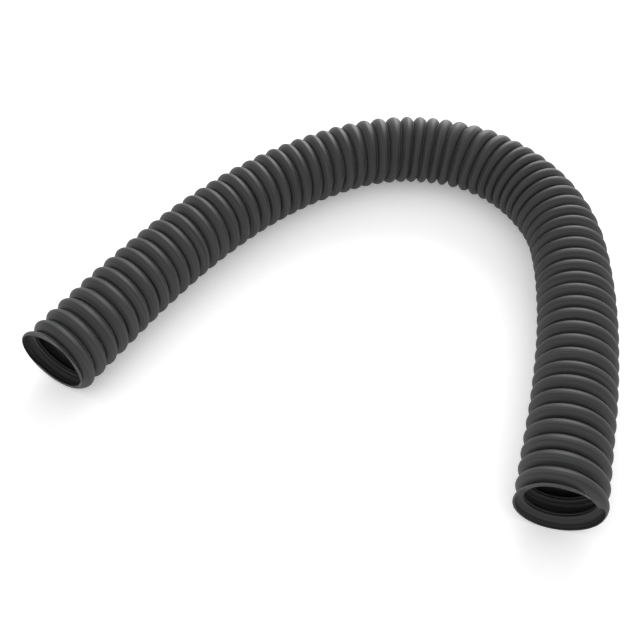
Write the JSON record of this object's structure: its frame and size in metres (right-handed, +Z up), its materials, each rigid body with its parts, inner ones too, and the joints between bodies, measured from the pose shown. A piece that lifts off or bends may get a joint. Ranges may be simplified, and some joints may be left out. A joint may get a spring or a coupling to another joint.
{
  "type": "vacuum hose",
  "caption": "Short length of wound corrugated vacuum hose lying in a hook, open at both ends, with two places where it flexes.",
  "frame": {"origin": "on the floor, at the middle of the hose's outline seen from above", "axes": "+Z up; +Y from the open ends towards the crown of the hook; +X from the left leg towards the right leg"},
  "size_m": [0.3593, 0.3188, 0.047],
  "materials": {
    "strip": "soft matte charcoal plastic with fine lengthwise drawing marks",
    "bead": "slightly glossier charcoal weld bead"
  },
  "bodies": {
    "crown": {"left_flex_strip": "strip", "left_flex_bead": "bead", "crown_1_strip": "strip", "crown_1_bead": "bead", "crown_2_strip": "strip", "crown_2_bead": "bead", "crown_3_strip": "strip", "crown_3_bead": "bead", "crown_4_strip": "strip", "crown_4_bead": "bead", "crown_5_strip": "strip", "crown_5_bead": "bead", "crown_6_strip": "strip", "crown_6_bead": "bead", "crown_7_strip": "strip", "crown_7_bead": "bead", "right_flex_strip": "strip", "right_flex_bead": "bead"},
    "left_leg": {"left_mouth_strip": "strip", "left_mouth_bead": "bead", "left_leg_1_strip": "strip", "left_leg_1_bead": "bead", "left_leg_2_strip": "strip", "left_leg_2_bead": "bead"},
    "right_leg": {"right_leg_1_strip": "strip", "right_leg_1_bead": "bead", "right_leg_2_strip": "strip", "right_leg_2_bead": "bead", "right_mouth_strip": "strip", "right_mouth_bead": "bead"}
  },
  "joints": [
    {"name": "left_flex", "type": "hinge", "parent": "crown", "child": "left_leg", "pos_m": [-0.053, 0.08364, 0.0235], "axis": [0, 0, 1], "range_deg": [-30, 25], "stiffness_Nm_per_rad": 0.4, "deforming": ["left_flex_strip", "left_flex_bead"]},
    {"name": "right_flex", "type": "hinge", "parent": "crown", "child": "right_leg", "pos_m": [0.15614, 0.02744, 0.0235], "axis": [0, 0, -1], "range_deg": [-40, 20], "stiffness_Nm_per_rad": 0.4, "deforming": ["right_flex_strip", "right_flex_bead"]}
  ]
}
